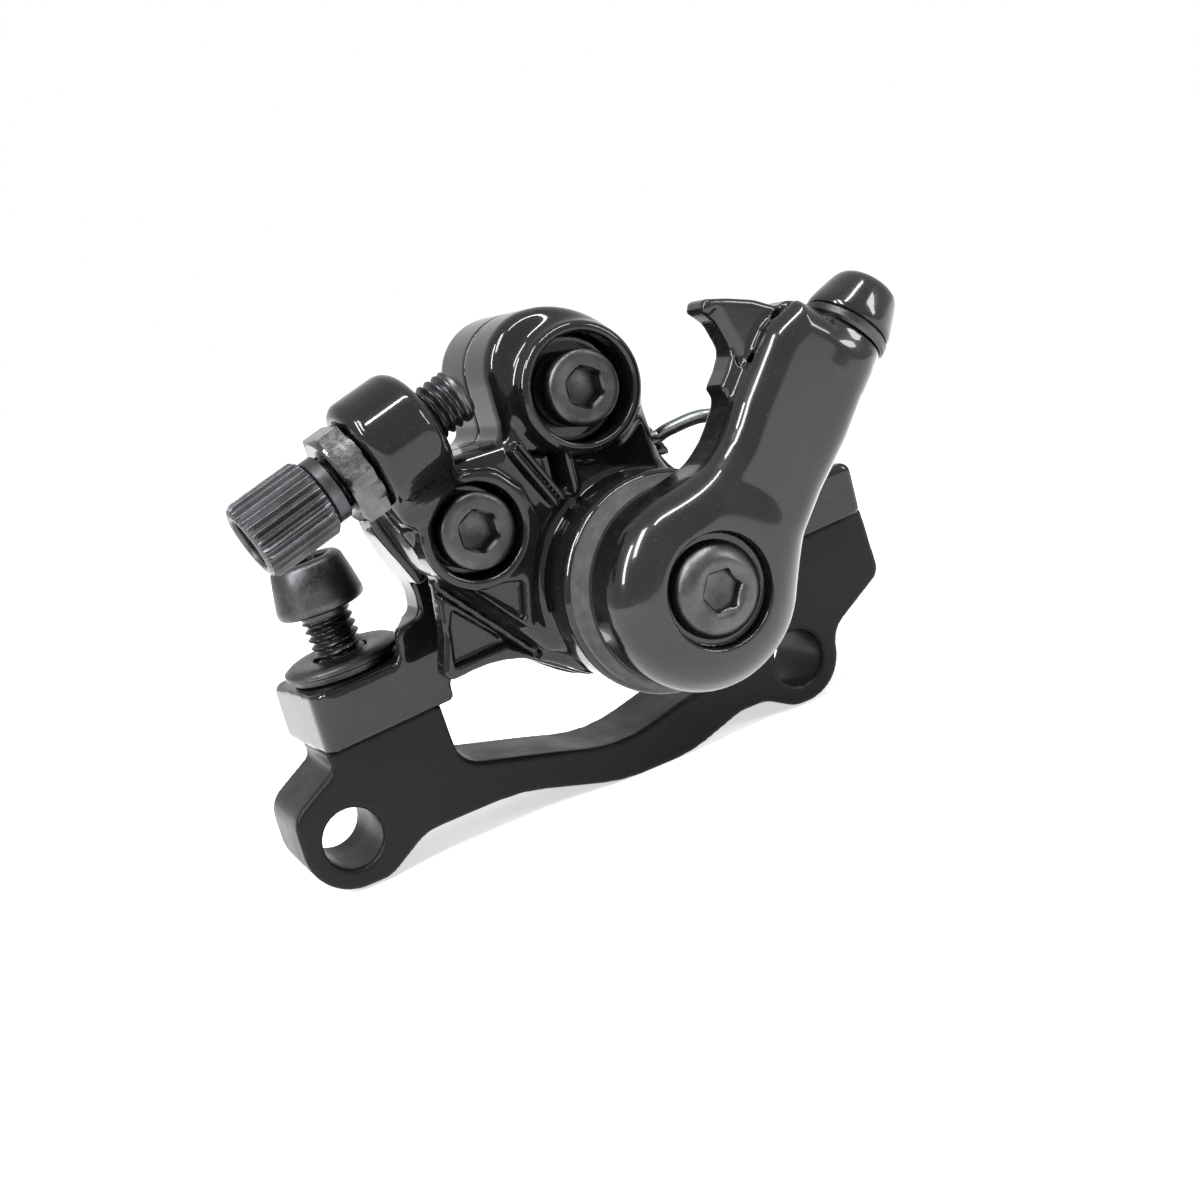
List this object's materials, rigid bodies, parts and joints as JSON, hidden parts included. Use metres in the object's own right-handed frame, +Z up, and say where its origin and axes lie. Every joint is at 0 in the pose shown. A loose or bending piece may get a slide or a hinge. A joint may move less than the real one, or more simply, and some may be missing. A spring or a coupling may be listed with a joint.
{
  "type": "mechanical disc brake caliper",
  "caption": "Cable operated disc brake caliper on a two-hole bracket, with swinging lever, return spring, ball-ramp cam, round pads and barrel adjuster.",
  "frame": {"origin": "midpoint between the bracket's two frame holes, on the bracket plate's front face", "axes": "+X along the line of the two frame holes, from the left hole to the right hole seen from the lever side; +Y away from the lever, along the wheel axle, into the bracket; +Z up, away from the wheel axle"},
  "size_m": [0.0828, 0.0455, 0.0587],
  "materials": {
    "black_enamel": "gloss black paint over cast metal",
    "black_oxide": "blackened steel",
    "dark_steel": "dark nickel plated steel",
    "black_anodised": "dark anodised aluminium",
    "black_rubber": "matt rubber",
    "spring_steel": "drawn spring wire",
    "bronze": "sintered bronze",
    "bright_steel": "turned steel",
    "ball_steel": "polished bearing steel",
    "magnet": "nickel plated magnet",
    "pad_plate": "copper coloured coated steel",
    "pad_lining": "resin friction material"
  },
  "bodies": {
    "bracket": {"bracket": "black_enamel", "mount_washers": "black_oxide"},
    "caliper": {"rear_body": "black_enamel", "front_body": "black_enamel", "body_screws": "black_oxide", "dust_seal": "black_rubber", "return_spring": "spring_steel", "shaft_bushing": "bronze", "thrust_washer": "bright_steel"},
    "left_bolt": {"mount_bolt_left": "black_oxide"},
    "right_bolt": {"mount_bolt_right": "black_oxide"},
    "lever": {"arm": "black_enamel", "arm_bolt": "dark_steel", "cam_shaft": "bright_steel"},
    "cage": {"ball_cage": "bronze"},
    "balls": {"cam_balls": "ball_steel"},
    "moving_pad": {"piston": "bright_steel", "piston_magnet": "magnet", "moving_pad_plate": "pad_plate", "moving_pad_lining": "pad_lining"},
    "fixed_pad": {"fixed_pad_plate": "pad_plate", "fixed_pad_lining": "pad_lining"},
    "pad_screw": {"pad_adjuster": "black_oxide", "adjuster_magnet": "magnet", "adjuster_ring": "black_rubber"},
    "collar": {"barrel_collar": "black_anodised"},
    "barrel": {"barrel_adjuster": "black_anodised"},
    "lock_nut": {"barrel_lock_nut": "dark_steel"},
    "cable_pinch": {"pinch_bolt": "dark_steel", "pinch_washer": "black_oxide"}
  },
  "joints": [
    {"name": "caliper_slide", "type": "slide", "parent": "bracket", "child": "caliper", "axis": [0, 1, 0], "range_m": [-0.0015, 0.0015]},
    {"name": "left_bolt_slide", "type": "slide", "parent": "bracket", "child": "left_bolt", "axis": [-0.0698, 0, 0.9976], "range_m": [-0.0056, 0.003]},
    {"name": "right_bolt_slide", "type": "slide", "parent": "bracket", "child": "right_bolt", "axis": [-0.0698, 0, 0.9976], "range_m": [0, 0.0086]},
    {"name": "lever_swing", "type": "hinge", "parent": "caliper", "child": "lever", "pos_m": [0.0068, -0.0195, 0.02], "axis": [0, -1, 0], "range_deg": [0, 35], "stiffness_Nm_per_rad": 0.3, "springref_deg": -34.38, "deforming": ["return_spring"]},
    {"name": "cage_turn", "type": "hinge", "parent": "caliper", "child": "cage", "pos_m": [0.0068, -0.01435, 0.02], "axis": [0, -1, 0], "range_deg": [0, 17.5]},
    {"name": "ball_rise", "type": "slide", "parent": "cage", "child": "balls", "axis": [0, 1, 0], "range_m": [0, 0.00055]},
    {"name": "moving_pad_slide", "type": "slide", "parent": "caliper", "child": "moving_pad", "axis": [0, 1, 0], "range_m": [0, 0.0011]},
    {"name": "fixed_pad_slide", "type": "slide", "parent": "caliper", "child": "fixed_pad", "axis": [0, -1, 0], "range_m": [0, 0.001]},
    {"name": "pad_screw_turn", "type": "hinge", "parent": "fixed_pad", "child": "pad_screw", "pos_m": [0.0068, 0.004, 0.02], "axis": [0, -1, 0], "range_deg": [0, 360]},
    {"name": "collar_slide", "type": "slide", "parent": "caliper", "child": "collar", "axis": [-0.9511, 0, -0.309], "range_m": [0, 0.004]},
    {"name": "barrel_turn", "type": "hinge", "parent": "collar", "child": "barrel", "pos_m": [-0.03081, -0.014, 0.03881], "axis": [-0.9511, 0, -0.309], "range_deg": [0, 1440]},
    {"name": "lock_nut_turn", "type": "hinge", "parent": "caliper", "child": "lock_nut", "pos_m": [-0.02301, -0.014, 0.04134], "axis": [-0.9511, 0, -0.309], "continuous": true},
    {"name": "pinch_slide", "type": "slide", "parent": "lever", "child": "cable_pinch", "axis": [0.7547, 0, 0.6561], "range_m": [0, 0.003]}
  ],
  "couplings": [
    {"joint": "cage_turn", "follows": "lever_swing", "ratio": 0.5},
    {"joint": "ball_rise", "follows": "lever_swing", "m_per_rad": 0.0009},
    {"joint": "moving_pad_slide", "follows": "lever_swing", "m_per_rad": 0.0018},
    {"joint": "pad_screw_turn", "follows": "fixed_pad_slide", "rad_per_m": 6283.2},
    {"joint": "barrel_turn", "follows": "collar_slide", "rad_per_m": 6283.2}
  ]
}
